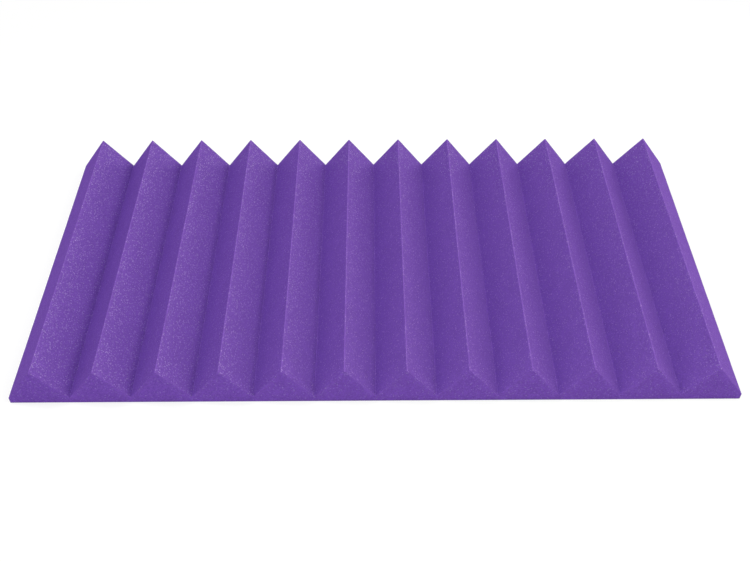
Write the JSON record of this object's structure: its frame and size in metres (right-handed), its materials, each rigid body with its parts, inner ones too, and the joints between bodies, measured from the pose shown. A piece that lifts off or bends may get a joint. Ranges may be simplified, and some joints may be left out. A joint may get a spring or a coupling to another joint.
{
  "type": "acoustic foam panel",
  "caption": "Rectangular sound-absorbing panel cut from one block of open-cell foam, with parallel triangular wedges across its face and a flat back.",
  "frame": {"origin": "centre of the flat back, on the plane that is glued to the wall", "axes": "+X across the wedges along the four foot side, +Y along the wedges, +Z out of the back towards the wedge tips"},
  "size_m": [1.2192, 0.6096, 0.0786],
  "materials": {
    "foam": "matte open-cell polyurethane foam, dyed purple through its whole thickness, with cut cells on every face"
  },
  "bodies": {
    "root": {"foam_panel": "foam"}
  },
  "joints": []
}
